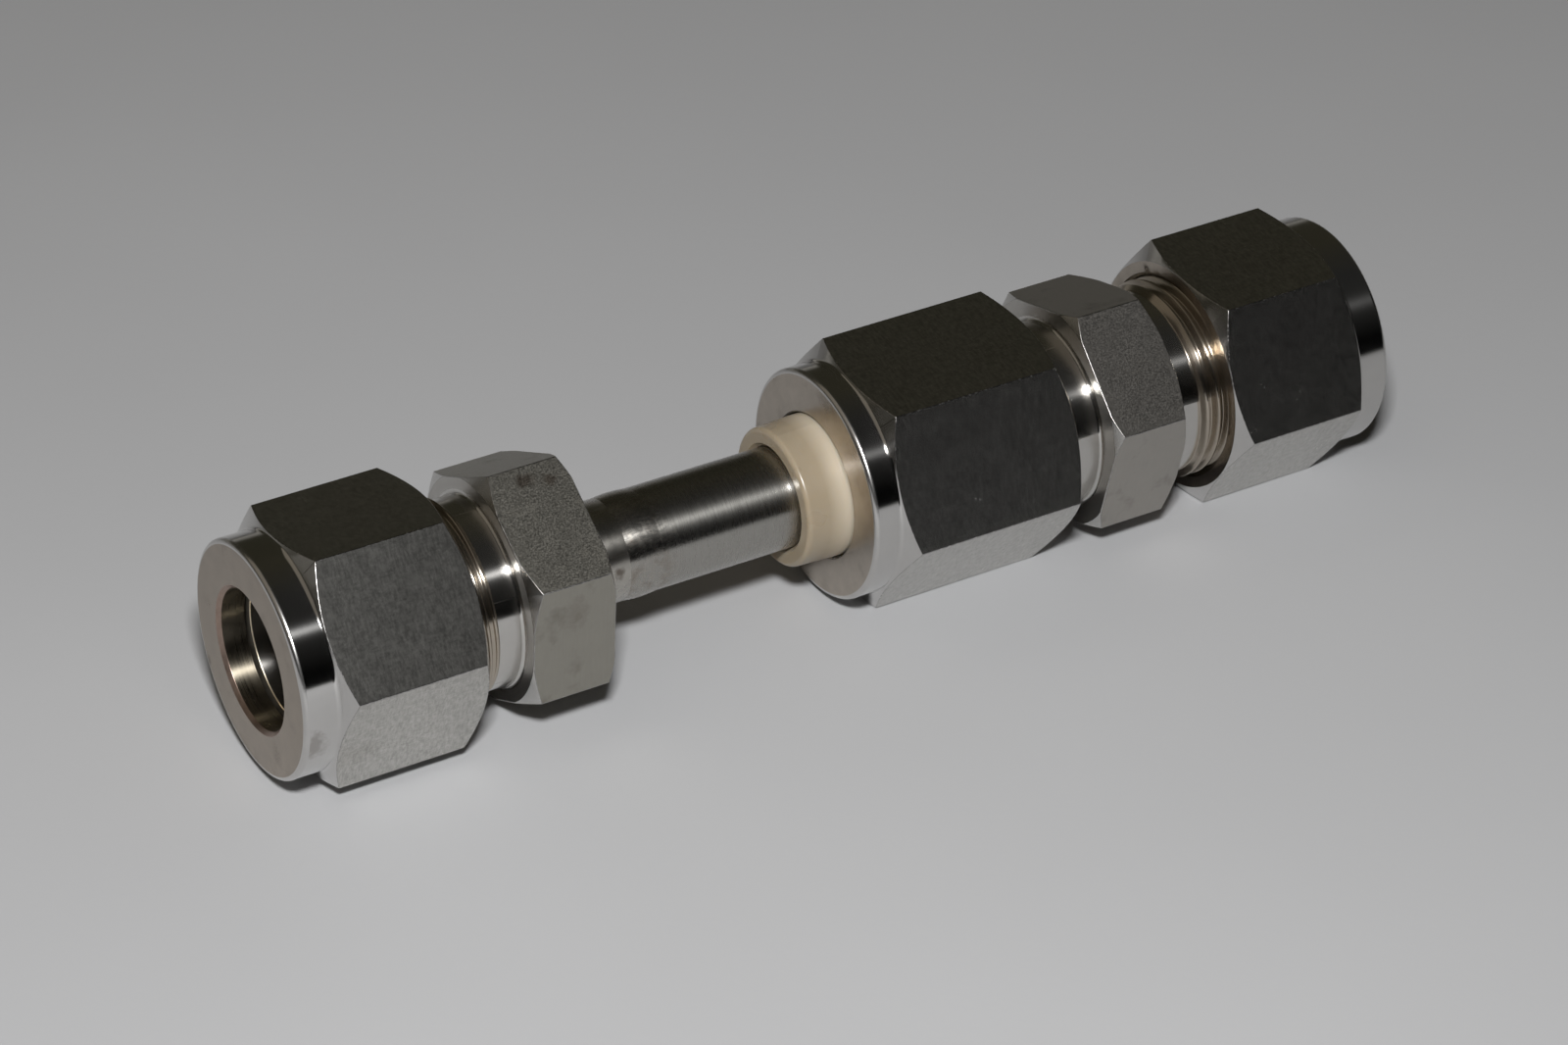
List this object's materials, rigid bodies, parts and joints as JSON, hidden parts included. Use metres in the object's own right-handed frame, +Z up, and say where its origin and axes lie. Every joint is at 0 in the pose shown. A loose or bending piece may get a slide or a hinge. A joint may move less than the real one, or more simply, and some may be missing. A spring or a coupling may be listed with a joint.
{
  "type": "dielectric union",
  "caption": "Insulating pipe union: a welded tube stem clamped between plastic insulators by a coupling nut, with ferrule-type hexagon nuts for tube at both ends.",
  "frame": {"origin": "on the line of the pipe, at the shoulder where the left tube stops", "axes": "+X along the pipe line from the stem half to the union half, +Z up as it lies on a flat surface, -Y towards the viewer"},
  "size_m": [0.1128, 0.0256, 0.0238],
  "materials": {
    "nut_steel": "satin stainless flats, bright turned collars",
    "body_steel": "fine blasted satin flats, polished necks",
    "tube_steel": "sanded satin tube, ground weld",
    "ferrule_steel": "bright turned",
    "insulator_plastic": "semi-gloss ivory plastic",
    "seal_rubber": "black rubber",
    "backup_plastic": "white plastic"
  },
  "bodies": {
    "root": {"stem_body": "body_steel", "weld_bead": "tube_steel", "stem_tube": "tube_steel", "rear_insulator": "insulator_plastic", "stem_seal_ring": "seal_rubber", "stem_backup_ring": "backup_plastic", "body_seal_ring": "seal_rubber", "body_backup_ring": "backup_plastic", "union_body": "body_steel"},
    "left_ferrules": {"left_back_ferrule": "ferrule_steel", "left_front_ferrule": "ferrule_steel"},
    "left_nut": {"left_nut": "nut_steel"},
    "front_insulator": {"front_insulator": "insulator_plastic"},
    "coupling_nut": {"coupling_nut": "nut_steel"},
    "right_ferrules": {"right_front_ferrule": "ferrule_steel", "right_back_ferrule": "ferrule_steel"},
    "right_nut": {"right_nut": "nut_steel"}
  },
  "joints": [
    {"name": "left_nut_travel", "type": "slide", "parent": "root", "child": "left_ferrules", "axis": [-1, 0, 0], "range_m": [0, 0.00762]},
    {"name": "left_nut_turn", "type": "hinge", "parent": "left_ferrules", "child": "left_nut", "pos_m": [-0.014, 0, 0], "axis": [-1, 0, 0], "range_deg": [0, 2160]},
    {"name": "coupling_nut_travel", "type": "slide", "parent": "root", "child": "front_insulator", "axis": [-1, 0, 0], "range_m": [0, 0.00762]},
    {"name": "coupling_nut_turn", "type": "hinge", "parent": "front_insulator", "child": "coupling_nut", "pos_m": [0.044, 0, 0], "axis": [-1, 0, 0], "range_deg": [0, 2160]},
    {"name": "right_nut_travel", "type": "slide", "parent": "root", "child": "right_ferrules", "axis": [1, 0, 0], "range_m": [-0.0005, 0.00762]},
    {"name": "right_nut_turn", "type": "hinge", "parent": "right_ferrules", "child": "right_nut", "pos_m": [0.081, 0, 0], "axis": [1, 0, 0], "range_deg": [-141, 2160]}
  ],
  "couplings": [
    {"joint": "left_nut_turn", "follows": "left_nut_travel", "rad_per_m": 4947.4},
    {"joint": "coupling_nut_turn", "follows": "coupling_nut_travel", "rad_per_m": 4947.4},
    {"joint": "right_nut_turn", "follows": "right_nut_travel", "rad_per_m": 4947.4}
  ]
}
